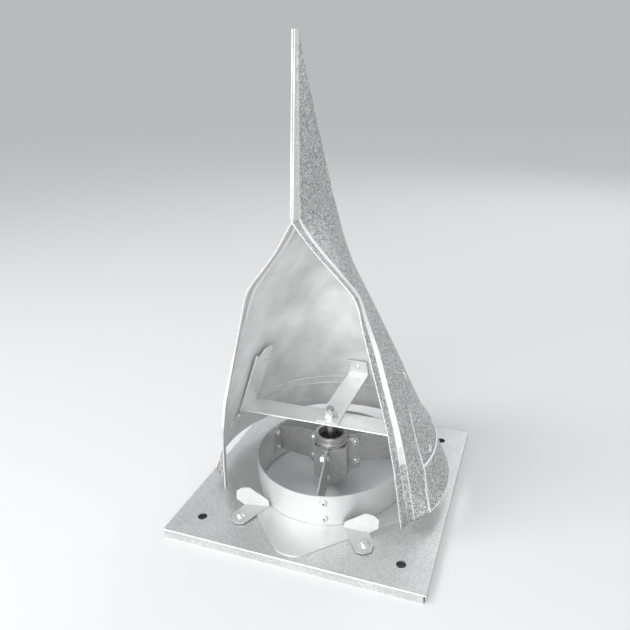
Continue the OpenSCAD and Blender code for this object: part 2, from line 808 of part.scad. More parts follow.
// Clips: a flat lobe on the collar plate and a raised lobe to turn it by. The outlines run
// along the fold from the tip, and away from it.
clip_low = sheet + run_gap;
pivot_along = 24.5;
pivot_away = 17.5;
flat_lobe = [[0, 0], [19, 27.5], [26, 28], [32.3, 23.5], [32.3, 15], [pivot_along, 0]];
raised_lobe = [[0, 0], [1, 6], [20, 18], [28, 17.5], [33, 14], [33, 6], [pivot_along, 0]];

module clip_shape() {
    translate([-pivot_along, pivot_away, 0]) {
        mirror([0, 1, 0]) linear_extrude(clip_sheet) polygon(flat_lobe);
        translate([0, -clip_sheet / 3, clip_sheet / 4])
            rotate([lobe_tilt, 0, 0]) linear_extrude(clip_sheet) polygon(raised_lobe);
    }
}

module clip(sx, sy, turn) {
    color(zinc_bright)
        scale([sx, sy, 1])
            translate([clip_x, -clip_y, plate_top + clip_low])
                rotate(turn)
                    difference() {
                        clip_shape();
                        translate([0, 0, -1]) cylinder(d = clip_screw_d + 2 * run_gap, h = clip_sheet + 2);
                    }
}

module clip_front_right() { clip(1, 1, clip_turn_right); }
module clip_front_left() { clip(-1, 1, clip_turn_left); }
module clip_rear_right() { clip(1, -1, clip_turn_right); }
module clip_rear_left() { clip(-1, -1, clip_turn_left); }

module at_clips(h) {
    for (p = clip_pivots)
        translate([p[0], p[1], plate_top + h]) children();
}

module clip_screws() {
    color(zinc_bright)
        at_clips(clip_low + clip_sheet + run_gap)
            pan_screw(clip_screw_d, clip_screw_d * 1.9, clip_screw_d * 0.6, 2 * sheet + clip_sheet + 5);
}

module clip_washers() {
    color(zinc_bright) at_clips(touch) washer(clip_washer_d, clip_low - run_gap - touch, clip_screw_d);
}

module clip_nuts() {
    color(zinc_bright)
        at_clips(-sheet - touch - clip_nut_h) nut(clip_nut_across, clip_nut_h, clip_screw_d);
}

base_plate();
collar_plate();
collar();
spoke_front();
spoke_right();
spoke_left();
spoke_rivets();
hub_screws();
hub_nuts();
hub_tube();
bearing_outer_rings();
bearing_shields();
hub_circlips();
clip_screws();
clip_washers();
clip_nuts();
clip_front_right();
clip_front_left();
clip_rear_right();
clip_rear_left();
bearing_balls();
bearing_cages();
shaft();
bearing_inner_rings();
spacer_sleeve();
shaft_circlip();
lower_washer();
lock_nut();
crossbar();
rear_arm();
top_washer();
top_nut();
hood_sheet();
skirt_band();
leg_rivets();
seam_rivets();
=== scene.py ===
"""Looks of the rotating chimney cowl: galvanised sheet, zinc fasteners and a studio."""

import math

import bmesh
import bpy
import numpy as np
from mathutils import Matrix, Vector


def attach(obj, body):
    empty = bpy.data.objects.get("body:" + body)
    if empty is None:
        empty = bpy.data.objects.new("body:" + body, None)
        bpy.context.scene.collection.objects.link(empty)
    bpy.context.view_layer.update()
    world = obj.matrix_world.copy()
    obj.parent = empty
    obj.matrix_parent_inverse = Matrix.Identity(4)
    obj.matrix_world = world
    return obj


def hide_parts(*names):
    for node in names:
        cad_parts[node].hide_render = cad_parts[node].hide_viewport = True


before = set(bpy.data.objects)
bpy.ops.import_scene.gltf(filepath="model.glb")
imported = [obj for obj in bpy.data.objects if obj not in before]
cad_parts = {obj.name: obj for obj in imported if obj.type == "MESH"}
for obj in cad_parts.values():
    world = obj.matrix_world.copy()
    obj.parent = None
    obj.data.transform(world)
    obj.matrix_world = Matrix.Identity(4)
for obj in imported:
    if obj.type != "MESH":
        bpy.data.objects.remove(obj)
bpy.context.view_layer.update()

SCENE = bpy.context.scene
MM = 0.001
TAU = 2.0 * math.pi

# Sizes in millimetres. PLATE_TOP counts from the ground, and the hood's heights from there.
PLATE_TOP = 9.0
PLATE_HALF = 125.0
SHEET = 1.0
COLLAR_R = 76.5
CONE_TOP, CONE_TAPER = 419.0, 0.29
SKIRT_R = 121.0
FOOT, SKIRT, SEAM, LAP = 8.0, 16.0, 56.0, 64.0
KNEE, SHOULDER, FOLD, APEX, FIN, TIP = 112.0, 225.0, 236.0, 289.0, 292.0, 424.0


# Meshes

def mesh_piece(name, parts, body, materials, sharp):
    """One mesh from (points, groups of faces) pairs in millimetres, on its body and slot.
    Edges that turn by more than sharp degrees stay sharp."""
    points, faces, start = [], [], 0
    for part_points, groups in parts:
        points.append(part_points)
        for group in groups:
            faces.extend((group + start).tolist())
        start += len(part_points)
    mesh = bpy.data.meshes.new(name)
    mesh.from_pydata((np.concatenate(points) * MM).tolist(), [], faces)
    mesh.validate()
    mesh.shade_smooth()
    mesh.set_sharp_from_angle(angle=math.radians(sharp))
    for material in materials:
        mesh.materials.append(material)
    piece = bpy.data.objects.new(name, mesh)
    SCENE.collection.objects.link(piece)
    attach(piece, body)
    return piece


def grid_faces(rows, cols, close_rows=False, close_cols=False):
    """Four-cornered faces between neighbouring points of a rows by cols grid."""
    i = np.arange(rows if close_rows else rows - 1)
    j = np.arange(cols if close_cols else cols - 1)
    a, b = np.meshgrid(i, j, indexing="ij")
    c, d = (a + 1) % rows, (b + 1) % cols
    return np.stack([a * cols + b, a * cols + d, c * cols + d, c * cols + b], -1).reshape(-1, 4)


def carried_round(profile, angle):
    """Points of a profile of (radius, height) rows carried round +Z to each angle. The angles
    are one row for all, or one row for each point of the profile."""
    radius, height = profile[:, :1], profile[:, 1:]
    x, y = radius * np.cos(angle), radius * np.sin(angle)
    return np.stack([x, y, np.broadcast_to(height, x.shape)], -1).reshape(-1, 3)


def turned(profile, cols):
    """A profile of (radius, height) points carried right round +Z. It runs so that the solid
    is on its left, with the radius to the right and the height up."""
    profile = np.asarray(profile, float)
    points = carried_round(profile, TAU * np.arange(cols) / cols)
    return points, [grid_faces(len(profile), cols, close_cols=True)]


def placed(part, origin, direction):
    """A part with its +Z turned to direction and its origin moved to origin."""
    points, groups = part
    turn = Vector(direction).normalized().to_track_quat("Z", "Y").to_matrix()
    return points @ np.array(turn).T + np.asarray(origin), groups


def face_sides(mesh):
    """Each face's height above the base plate in millimetres, and how far it looks outwards:
    the part of its normal that points away from the Z axis."""
    centre, normal = np.empty((2, 3 * len(mesh.polygons)), np.float32)
    mesh.polygons.foreach_get("center", centre)
    mesh.polygons.foreach_get("normal", normal)
    centre, normal = centre.reshape(-1, 3), normal.reshape(-1, 3)
    out = (centre[:, :2] * normal[:, :2]).sum(1) / np.linalg.norm(centre[:, :2], axis=1)
    return centre[:, 2] / MM - PLATE_TOP, out


def dressed(node, name, body, material, cut, steps=2, wide=None, drawn_in=None):
    """A copy of a CAD node with its doubles merged and its flat areas joined. Its sharp edges
    are rounded by cut millimetres. wide is (picks, cut, material) for the edges that
    picks(a, b) names, which are rounded first and in their own material. drawn_in is (axis,
    far), and moves both of the piece's ends along the axis towards the middle by far."""
    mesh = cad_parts[node].data.copy()
    bm = bmesh.new()
    bm.from_mesh(mesh)
    bmesh.ops.remove_doubles(bm, verts=bm.verts, dist=2e-6)
    bmesh.ops.dissolve_limit(
        bm, angle_limit=math.radians(0.5), verts=bm.verts, edges=bm.edges, delimit={"NORMAL"})
    bmesh.ops.recalc_face_normals(bm, faces=bm.faces)
    if drawn_in is not None:
        axis, far = drawn_in
        ends_from = 60.0
        for v in bm.verts:
            if abs(v.co[axis]) > ends_from * MM:
                v.co[axis] -= math.copysign(far * MM, v.co[axis])

    def sharp_edges(angle):
        return [e for e in bm.edges if len(e.link_faces) == 2 and e.calc_face_angle(0.0) > angle]

    if wide is not None:
        picks, wide_cut, _ = wide
        edges = [e for e in sharp_edges(0.5) if picks(e.verts[0].co / MM, e.verts[1].co / MM)]
        bmesh.ops.bevel(bm, geom=edges, offset=wide_cut * MM, segments=4, profile=0.5,
                        affect="EDGES", clamp_overlap=True, material=1)
    bmesh.ops.bevel(bm, geom=sharp_edges(0.6), offset=cut * MM, segments=steps, profile=0.5,
                    affect="EDGES", clamp_overlap=True)
    bm.to_mesh(mesh)
    bm.free()
    mesh.materials.clear()
    mesh.materials.append(material)
    if wide is not None:
        mesh.materials.append(wide[2])
    mesh.shade_smooth()
    mesh.set_sharp_from_angle(angle=math.radians(50.0))
    piece = bpy.data.objects.new(name, mesh)
    SCENE.collection.objects.link(piece)
    weighted = piece.modifiers.new("even_shading", "WEIGHTED_NORMAL")
    weighted.weight = 100
    weighted.keep_sharp = True
    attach(piece, body)
    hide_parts(node)


# Materials

def added(tree, kind, **values):
    """A new shader node of a kind, with the inputs that values names set."""
    node = tree.nodes.new(kind)
    for name, value in values.items():
        node.inputs[name.replace("_", " ")].default_value = value
    return node


def metal(name, tone, rough, mottle, grain=900.0, clouds=0.0, cloud_size=14.0, bump=0.0,
          streak=(1.0, 1.0, 1.0), metallic=1.0, deep=0.4):
    """Zinc or steel. Fine grains and wide clouds of noise on Object coordinates shift its
    colour and roughness, and lift its surface a little. A streak stretches the grains, and
    deep is how dark the clouds go. A weathered zinc skin is less than fully metallic."""
    mat = bpy.data.materials.new(name)
    mat.use_nodes = True
    tree = mat.node_tree
    link = tree.links.new
    shader = tree.nodes["Principled BSDF"]
    shader.inputs["Metallic"].default_value = metallic
    place = added(tree, "ShaderNodeTexCoord")
    stretch = added(tree, "ShaderNodeMapping", Scale=streak)
    link(place.outputs["Object"], stretch.inputs["Vector"])

    fine = added(tree, "ShaderNodeTexNoise", Scale=grain, Detail=3.0, Roughness=0.65)
    flakes = added(tree, "ShaderNodeTexVoronoi", Scale=grain * 0.8)
    wide = added(tree, "ShaderNodeTexNoise", Scale=cloud_size, Detail=4.0, Roughness=0.55)
    link(stretch.outputs["Vector"], fine.inputs["Vector"])
    link(stretch.outputs["Vector"], flakes.inputs["Vector"])
    link(place.outputs["Object"], wide.inputs["Vector"])

    fine_share, flake_share = 0.6, 0.4
    grey = added(tree, "ShaderNodeSeparateColor")
    link(flakes.outputs["Color"], grey.inputs["Color"])
    flake_part = added(tree, "ShaderNodeMath")
    flake_part.operation = "MULTIPLY"
    flake_part.inputs[1].default_value = flake_share
    link(grey.outputs["Red"], flake_part.inputs[0])
    grains = added(tree, "ShaderNodeMath")
    grains.operation = "MULTIPLY_ADD"
    grains.inputs[1].default_value = fine_share
    link(fine.outputs["Fac"], grains.inputs[0])
    link(flake_part.outputs["Value"], grains.inputs[2])

    tint = added(tree, "ShaderNodeValToRGB")
    low, high = tone * (1.0 - mottle), min(tone * (1.0 + 0.7 * mottle), 0.97)
    for end, at, grey_tone in zip(tint.color_ramp.elements, (0.34, 0.64), (low, high)):
        end.position = at
        end.color = (grey_tone, grey_tone, grey_tone, 1.0)
    link(grains.outputs["Value"], tint.inputs["Fac"])

    band = added(tree, "ShaderNodeMapRange", From_Min=0.3, From_Max=0.7, To_Min=deep, To_Max=1.0)
    link(wide.outputs["Fac"], band.inputs["Value"])
    shade = added(tree, "ShaderNodeMixRGB", Fac=clouds)
    shade.blend_type = "MULTIPLY"
    link(tint.outputs["Color"], shade.inputs["Color1"])
    link(band.outputs["Result"], shade.inputs["Color2"])
    link(shade.outputs["Color"], shader.inputs["Base Color"])

    swing = 0.05
    gloss = added(tree, "ShaderNodeMapRange", From_Min=0.2, From_Max=0.8,
                  To_Min=rough - swing, To_Max=rough + swing)
    link(grains.outputs["Value"], gloss.inputs["Value"])
    link(gloss.outputs["Result"], shader.inputs["Roughness"])

    if bump > 0.0:
        lift = added(tree, "ShaderNodeBump", Strength=bump, Distance=0.0004)
        link(grains.outputs["Value"], lift.inputs["Height"])
        link(lift.outputs["Normal"], shader.inputs["Normal"])
    return mat


HOOD_ZINC = metal("hood_zinc", 0.6, 0.47, 0.52, grain=1100.0, clouds=0.3, cloud_size=26.0,
                  bump=0.4, metallic=0.75, deep=0.55)
# The inner faces of hood and skirt: the same zinc as the outside, painted much paler as painted
# light.
INSIDE_LIT_ZINC = metal("hood_inside_painted_light", 0.97, 0.4, 0.03, clouds=0.7, cloud_size=19.0, bump=0.1,
                    metallic=0.2, deep=0.5)
# The sheet's cut edges, painted pale as a painted highlight on the thin edges facing the light.
CUT_EDGE_HIGHLIGHT = metal("hood_cut_edge_painted_highlight", 0.93, 0.3, 0.04, metallic=0.5)
# Pale zinc on the hood's bends, rim step and crease lines, the skirt's bead, the base plate's
# rounded rim and the fin's weld dots: a painted highlight where these catch the light.
BEND_HIGHLIGHT_ZINC = metal("rim_bend_painted_highlight", 0.93, 0.4, 0.04, bump=0.08, metallic=0.25)
# The inside of the rim's leg, painted darker than the rest of the inside as painted shade.
RIM_INSIDE_SHADE_ZINC = metal("rim_inside_painted_shade", 0.62, 0.4, 0.1, grain=1000.0, bump=0.15, metallic=0.4)
SEAM_ZINC = metal("fin_seam_zinc", 0.76, 0.4, 0.08, bump=0.15, metallic=0.4)
BASE_ZINC = metal("base_zinc", 0.78, 0.36, 0.13, grain=1100.0, clouds=0.35, cloud_size=16.0,
                  bump=0.2, metallic=0.75, deep=0.55)
PLATE_ZINC = metal("plate_zinc", 0.8, 0.44, 0.03, grain=700.0, clouds=0.3, bump=0.06,
                   metallic=0.7, deep=0.6)
COLLAR_ZINC = metal("collar_zinc", 0.82, 0.4, 0.02, grain=700.0, clouds=0.25, bump=0.04,
                    metallic=0.75, deep=0.6)
CLIP_ZINC = metal("clip_zinc", 0.64, 0.44, 0.06, clouds=0.2, bump=0.12, metallic=0.35)
BAR_STEEL = metal("bar_steel", 0.93, 0.34, 0.04, grain=700.0, clouds=0.25, cloud_size=24.0,
                  bump=0.1, metallic=0.5, deep=0.6)
SPOKE_STEEL = metal("spoke_steel", 0.66, 0.4, 0.1, grain=700.0, clouds=0.3, bump=0.2,
                    metallic=0.75)
HUB_STEEL = metal("hub_steel", 0.66, 0.34, 0.1, grain=700.0, clouds=0.2, bump=0.12,
                  streak=(1.0, 1.0, 6.0), metallic=0.85)
SHAFT_STEEL = metal("shaft_steel", 0.5, 0.32, 0.06, grain=600.0, bump=0.1,
                    streak=(1.0, 1.0, 8.0))
RACE_STEEL = metal("race_steel", 0.6, 0.2, 0.03, grain=500.0, bump=0.03)
SPRING_STEEL = metal("spring_steel", 0.12, 0.45, 0.1, grain=700.0, bump=0.15)
FASTENER_ZINC = metal("fastener_zinc", 0.82, 0.3, 0.08, bump=0.15, metallic=0.85)
RIVET_STEEL = metal("rivet_steel", 0.86, 0.28, 0.05, bump=0.1, metallic=0.85)
# Near black in the rivets' mandrel holes: painted shade for the hollow.
HOLE_SHADE_BLACK = metal("mandrel_hole_painted_shade", 0.05, 0.6, 0.2, metallic=0.4)
# Painted shade: near black on the chamfer round the collar's hole and in the skirt's groove,
# where the gap's shadow falls.
GAP_SHADE_DARK = metal("gap_painted_shade", 0.1, 0.6, 0.1, metallic=0.4)


# Hood: its section at each height, from the mouth's edge round the back to the other edge

def table(heights, stations, blur=0.0):
    """Values between stations of (height, value), averaged over blur to each side and over
    less near the two ends."""
    stations = np.asarray(stations, float)
    low, high = stations[0, 0], stations[-1, 0]
    reach = np.clip(np.minimum(heights - low, high - heights), 0.0, blur)
    taken = [np.interp(heights + s * reach, stations[:, 0], stations[:, 1])
             for s in np.linspace(-1.0, 1.0, 9)]
    return np.mean(taken, axis=0)


def crease(h):
    """Angle of the crease in front of the sides, which swings to the front under the seam."""
    return np.radians(table(h, [(SKIRT, 21.2), (36.0, 19.5), (50.0, 15.6), (SEAM, 15.4),
                                (LAP, 16.0)]))


def cone_r(h):
    """Radius of the hood's rounded back, which closes in evenly with height."""
    return CONE_TAPER * (CONE_TOP - h)


def side_r(h):
    """cone_r() above the seam, and the skirt's radius, which opens faster, under it."""
    share = np.clip((SEAM - h) / (SEAM - SKIRT), 0.0, None)
    return np.where(h > SEAM, cone_r(h), cone_r(SEAM) + (SKIRT_R - cone_r(SEAM)) * share)


def arc_handle(h):
    """Length of a cubic curve's handle that makes it an arc from the crease to the back."""
    return 4.0 / 3.0 * np.tan((math.pi / 2.0 + crease(h)) / 4.0) * cone_r(h)


# Lines of the sheet as (height, value): the mouth's edge, the middle of the back, the length of
# the rim's leg, how far it leans out, the rim's outward step, the crease, and the two handles
# and the lean of the curve from the crease to the back
MOUTH_X = [(FOOT, 90.0), (40.0, 87.0), (60.0, 85.0), (80.0, 82.5), (KNEE, 77.0), (160.0, 65.0),
           (200.0, 55.0), (218.0, 51.0), (226.0, 48.0), (234.0, 41.7), (254.0, 24.5),
           (266.0, 15.2), (278.0, 7.4), (APEX, 0.0)]
MOUTH_Y = [(FOOT, -66.0), (40.0, -69.0), (80.0, -71.5), (KNEE, -71.0), (160.0, -69.0),
           (210.0, -67.0), (232.0, -64.0), (250.0, -66.5), (281.0, -73.5), (APEX, -74.9),
           (TIP, -55.5)]
BACK_Y = [(FOOT, cone_r(FOOT)), (FOLD, cone_r(FOLD)), (TIP, -48.6)]
LEG = [(FOOT, 12.0), (60.0, 9.4), (KNEE, 8.4), (150.0, 8.8), (210.0, 12.0), (SHOULDER, 13.5),
       (234.0, 10.7), (254.0, 10.4), (278.0, 12.4), (FIN, 13.0), (303.0, 9.5), (TIP, 3.4)]
FLARE = [(FOOT, 3.5), (60.0, 2.4), (90.0, 2.6), (150.0, 1.6), (180.0, 0.5), (SHOULDER, -4.2),
         (232.0, -4.4), (254.0, -2.9), (278.0, -3.6), (284.0, -2.4), (APEX, 0.0)]
STEP = [(FOOT, 4.9), (60.0, 5.6), (KNEE, 4.8), (180.0, 4.2), (SHOULDER, 2.2), (245.0, 3.0),
        (277.0, 3.0), (FIN, 0.8)]
STEP_BACK = [(FOOT, 4.3), (60.0, 3.4), (KNEE, 2.0), (SHOULDER, 2.0), (245.0, 1.5), (FIN, 1.2)]
CREASE_X = [(LAP, cone_r(LAP) * math.cos(crease(LAP))), (75.0, 95.5), (90.0, 91.0),
            (105.0, 86.0), (130.0, 76.0), (155.0, 66.3), (180.0, 55.6), (205.0, 44.0),
            (229.0, 31.0), (257.0, 16.0), (285.0, 4.0), (FIN, 1.6)]
CREASE_Y = [(LAP, -cone_r(LAP) * math.sin(crease(LAP))), (75.0, -28.0), (90.0, -25.5),
            (105.0, -21.0), (130.0, -8.0), (180.0, -6.0), (229.0, -8.0), (285.0, -10.0),
            (300.0, -12.0), (TIP, -49.6)]
PULL_A = [(LAP, arc_handle(LAP)), (75.0, 59.0), (90.0, 57.0), (105.0, 52.0), (130.0, 46.0),
          (180.0, 27.0), (229.0, 18.0), (250.0, 12.0), (285.0, 8.0), (TIP, 0.5)]
PULL_B = [(LAP, arc_handle(LAP)), (75.0, 65.0), (90.0, 60.0), (105.0, 54.0), (130.0, 35.0),
          (180.0, 18.0), (229.0, 5.0), (285.0, 1.4), (FIN, 0.9), (TIP, 0.6)]
LEAN = [(LAP, 16.0), (75.0, 10.0), (90.0, 5.0), (105.0, 0.0), (130.0, -6.0), (180.0, -14.0),
        (229.0, -20.0), (250.0, -16.0), (285.0, -3.0), (TIP, 0.0)]
RIM_BLUR, FRONT_BLUR, WALL_BLUR = 4.0, 3.0, 7.0


def section_corners(h):
    """The right half's four corners in plan at heights h: the mouth's edge, the end of the
    rim's leg, the end of its outward step, and the crease."""
    edge_x = np.where(h > FIN - 1e-6, 1.35 * SHEET, table(h, MOUTH_X, RIM_BLUR) + SHEET / 2.0)
    edge = np.stack([edge_x, table(h, MOUTH_Y, FRONT_BLUR)], -1)
    bend = edge + np.stack([table(h, FLARE, RIM_BLUR), table(h, LEG, RIM_BLUR)], -1)
    out = bend + np.stack([table(h, STEP, RIM_BLUR), table(h, STEP_BACK, RIM_BLUR)], -1)
    above = h > LAP
    x = np.where(above, table(h, CREASE_X, WALL_BLUR), side_r(h) * np.cos(crease(h)))
    y = np.where(above, table(h, CREASE_Y, WALL_BLUR), -side_r(h) * np.sin(crease(h)))
    least_x, least_gap = 1.9, 0.8
    corner = np.stack([np.maximum(x, least_x), np.maximum(y, out[:, 1] + least_gap)], -1)
    return edge, bend, out, corner


def back_curve(h, corner, t):
    """The cubic curve from the crease to the middle of the back, for each t from 0 to 1."""
    above = h > LAP
    a = np.where(above, table(h, PULL_A, WALL_BLUR), arc_handle(h))
    b = np.where(above, table(h, PULL_B, WALL_BLUR), arc_handle(h))
    lean = np.where(above, np.radians(table(h, LEAN, WALL_BLUR)), crease(h))
    back = np.stack([np.zeros_like(h), table(h, BACK_Y)], -1)
    p1 = corner + a[:, None] * np.stack([np.sin(lean), np.cos(lean)], -1)
    p2 = back + np.stack([b, np.zeros_like(h)], -1)
    t = t[None, :, None]
    return ((1 - t) ** 3 * corner[:, None] + 3 * (1 - t) ** 2 * t * p1[:, None]
            + 3 * (1 - t) * t ** 2 * p2[:, None] + t ** 3 * back[:, None])


def rounded_corner(before, corner, after, cut):
    """BEND_COLS points of a corner rounded by a parabola that starts cut before it and ends
    cut after it."""
    def reach(to):
        gap = to - corner
        size = np.linalg.norm(gap, axis=-1, keepdims=True)
        return corner + gap * np.minimum(cut / np.maximum(size, 1e-9), 0.45)
    a, b = reach(before), reach(after)
    t = np.linspace(0.0, 1.0, BEND_COLS)[None, :, None]
    return (1 - t) ** 2 * a[:, None] + 2 * t * (1 - t) * corner[:, None] + t ** 2 * b[:, None]


# Points across the half section: leg, each bend, side and back. The side starts after RIM_COLS
# points, the crease is point number FLANK, and the back's middle is HALF_COLS.
LEG_COLS, BEND_COLS, SIDE_COLS, BACK_COLS = 4, 5, 22, 46
RIM_COLS = LEG_COLS + 2 * BEND_COLS
FLANK = RIM_COLS + SIDE_COLS + (BEND_COLS + 1) // 2
HALF_COLS = RIM_COLS + SIDE_COLS + BEND_COLS + BACK_COLS - 1
RIM_ROUND, CREASE_ROUND = 0.9, 1.0


def half_section(h):
    """HALF_COLS outline points of the right half at heights h, from the mouth's edge to the
    middle of the back: leg, two bends of the step, side, crease and curved back."""
    edge, bend, out, corner = section_corners(h)
    curve = back_curve(h, corner, np.linspace(0.0, 1.0, BACK_COLS + 1))
    leg_t = np.linspace(0.0, 0.9, LEG_COLS)[None, :, None]
    leg = edge[:, None] * (1 - leg_t) + bend[:, None] * leg_t
    first = rounded_corner(edge, bend, out, RIM_ROUND)
    second = rounded_corner(bend, out, corner, RIM_ROUND)
    side_t = np.linspace(0.0, 1.0, SIDE_COLS + 2)[None, 1:-1, None]
    start, end = second[:, -1], corner + (out - corner) * 0.04
    side = start[:, None] * (1 - side_t) + end[:, None] * side_t
    third = rounded_corner(end, corner, curve[:, 1], CREASE_ROUND)
    return np.concatenate([leg, first, second, side, third, curve[:, 2:]], axis=1)


# Looks of the hood's faces as (outside, inside, cut edge), and where each lies: the first and
# last column from the mouth's edge, and the heights between. A later row goes over an earlier.
# The pale inside is painted light and the pale cut edges a painted highlight. The bend zinc on
# the rim's bends, its outward step and the crease lines is a painted highlight, and the darker
# inside of the rim's leg is painted shade.
PLAIN = (HOOD_ZINC, INSIDE_LIT_ZINC, CUT_EDGE_HIGHLIGHT)
HIGHLIGHT_LINE = (BEND_HIGHLIGHT_ZINC, INSIDE_LIT_ZINC, CUT_EDGE_HIGHLIGHT)
RIM_LEG_SHADED = (HOOD_ZINC, RIM_INSIDE_SHADE_ZINC, CUT_EDGE_HIGHLIGHT)
RIM_BEND_HIGHLIGHT = (HOOD_ZINC, BEND_HIGHLIGHT_ZINC, CUT_EDGE_HIGHLIGHT)
RIM_STEP_HIGHLIGHT = (BEND_HIGHLIGHT_ZINC, BEND_HIGHLIGHT_ZINC, CUT_EDGE_HIGHLIGHT)
FIN_SEAM = (SEAM_ZINC, INSIDE_LIT_ZINC, CUT_EDGE_HIGHLIGHT)
LOOKS = [PLAIN, HIGHLIGHT_LINE, RIM_BEND_HIGHLIGHT, FIN_SEAM, RIM_LEG_SHADED, RIM_STEP_HIGHLIGHT]
STEP_FADES, STEP_ENDS = 92.0, 75.0
LOOK_PLACES = [
    (RIM_LEG_SHADED, 0, LEG_COLS - 3, 0.0, TIP),
    (RIM_BEND_HIGHLIGHT, LEG_COLS - 2, LEG_COLS - 1, 0.0, TIP),
    (RIM_BEND_HIGHLIGHT, LEG_COLS + 1, LEG_COLS + 1, 0.0, TIP),
    (RIM_STEP_HIGHLIGHT, LEG_COLS + 2, RIM_COLS - 3, STEP_ENDS, TIP),
    (RIM_STEP_HIGHLIGHT, LEG_COLS + 2, LEG_COLS + 2, 0.0, TIP),
    (RIM_STEP_HIGHLIGHT, RIM_COLS - 4, RIM_COLS - 3, 0.0, TIP),
    # The medium seam zinc on the step's end column fades the step's painted highlight out here.
    (FIN_SEAM, LEG_COLS + BEND_COLS - 1, LEG_COLS + BEND_COLS - 1, STEP_ENDS, STEP_FADES),
    (HIGHLIGHT_LINE, FLANK - 4, FLANK - 3, 0.0, 104.0),
    (HIGHLIGHT_LINE, FLANK - 3, FLANK - 3, 0.0, 128.0),
    (HIGHLIGHT_LINE, HALF_COLS - 7, HALF_COLS, FIN + 4.0, TIP),
    (FIN_SEAM, 0, RIM_COLS - 3, FIN - 4.0, TIP)]


def hood_shell():
    """The hood's outer skin as one grid: columns run round the section and rows up. Rows under
    the seam are kept only between the mouth's edge and the crease. Solidify gives the sheet."""
    high = np.unique(np.concatenate([
        np.arange(SEAM, TIP, 2.5), [LAP, KNEE, SHOULDER, FOLD, APEX, FIN, TIP]]))
    low_steps = np.linspace(0.0, 1.0, 14, endpoint=False)
    tall = np.broadcast_to(high[:, None, None], (len(high), HALF_COLS, 1))
    upper = np.concatenate([half_section(high), tall], -1)
    columns = np.arange(HALF_COLS)
    share = np.clip((columns - RIM_COLS) / SIDE_COLS, 0.0, 1.0)
    lower = np.zeros((len(low_steps), HALF_COLS, 3))
    for row, u in enumerate(low_steps):
        heights = (FOOT + u * (SEAM - FOOT)) * (1 - share) + (SKIRT + u * (SEAM - SKIRT)) * share
        lower[row, :, :2] = half_section(heights)[columns, columns]
        lower[row, :, 2] = heights
    rows = np.concatenate([lower, upper])
    mirrored = rows[:, ::-1][:, 1:] * np.array([-1.0, 1.0, 1.0])
    whole = np.concatenate([rows, mirrored], axis=1)
    total = whole.shape[1]
    faces = grid_faces(len(whole), total)
    row, col = faces[:, 0] // total, faces[:, 0] % total
    keep = (row >= len(low_steps)) | (col < FLANK - 1) | (col >= total - FLANK)
    used, faces = np.unique(faces[keep], return_inverse=True)
    points = whole.reshape(-1, 3)[used] + np.array([0.0, 0.0, PLATE_TOP])
    piece = mesh_piece("hood_shell", [(points, [faces.reshape(-1, 4)])], "hood",
                       [zinc for looks in LOOKS for zinc in looks], 60.0)
    across = np.minimum(col[keep], total - 2 - col[keep])
    height = whole[row[keep], col[keep], 2]
    look = np.zeros(len(across), np.int32)
    for looks, first, last, low, top in LOOK_PLACES:
        inside = (across >= first) & (across <= last) & (height > low) & (height < top)
        look[inside] = 3 * LOOKS.index(looks)
    piece.data.polygons.foreach_set("material_index", look)
    wall = piece.modifiers.new("sheet", "SOLIDIFY")
    wall.thickness = 0.94 * SHEET * MM
    wall.offset = -1.0
    wall.use_even_offset = False
    wall.material_offset = 1
    wall.material_offset_rim = 2
    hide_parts("hood_sheet")


def skirt():
    """The skirt band as one closed profile carried from crease to crease: a cone, a rolled
    bead under the seam with its groove inside, and a lap inside the hood."""
    low, seam, lap = PLATE_TOP + SKIRT, PLATE_TOP + SEAM, PLATE_TOP + LAP
    bead, bead_r, groove_depth, groove_half, cols = SEAM - 1.6, 1.5, 1.1, 1.2, 150
    inset = SHEET + 0.05
    turn = np.linspace(-0.5, 1.0, 12) * math.pi / 1.5 - 0.25
    ring = np.stack([side_r(bead) + bead_r * np.cos(turn),
                     PLATE_TOP + bead + bead_r * np.sin(turn)], -1)
    groove = np.stack([side_r(bead) - SHEET + groove_depth * np.cos(turn[::-1]),
                       PLATE_TOP + bead + groove_half * np.sin(turn[::-1])], -1)
    profile = np.concatenate([
        [(SKIRT_R - 0.25, low), (SKIRT_R, low + 0.3), (side_r(SKIRT + 1.3), low + 1.3)], ring,
        [(cone_r(SEAM) - inset, seam), (cone_r(LAP) - inset, lap),
         (cone_r(LAP) - inset - SHEET, lap), (cone_r(SEAM) - inset - SHEET, seam)], groove,
        [(SKIRT_R - SHEET, low)]])
    start = 0.002 - crease(profile[:, 1] - PLATE_TOP)[:, None]
    angle = start + (math.pi - 2.0 * start) * np.arange(cols + 1) / cols
    first_end = np.arange(len(profile)) * (cols + 1)
    faces = [grid_faces(len(profile), cols + 1, close_rows=True),
             np.stack([first_end, first_end[::-1] + cols])]
    piece = mesh_piece("skirt", [(carried_round(profile, angle), faces)], "hood",
                       [HOOD_ZINC, INSIDE_LIT_ZINC, BEND_HIGHLIGHT_ZINC, CUT_EDGE_HIGHLIGHT, GAP_SHADE_DARK],
                       50.0)
    height, out = face_sides(piece.data)
    # Looks: the pale inside is painted light, the bead and the cut edges at the foot and the
    # lap's top a painted highlight, and the upper half of the groove inside is painted dark as
    # its shade.
    on_bead = (height > SEAM - 3.2) & (height < SEAM)
    look = np.zeros(len(height), np.int32)
    look[out < 0.0] = 1
    look[on_bead] = 2
    look[(out > 0.0) & (height < SKIRT + 1.2) | (height > LAP - 0.5)] = 3
    look[(out < 0.0) & on_bead & (height > SEAM - 1.2)] = 4
    piece.data.polygons.foreach_set("material_index", look)
    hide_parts("skirt_band")


hood_shell()
skirt()


# Sheet pieces taken from the CAD solids, with their edges rounded

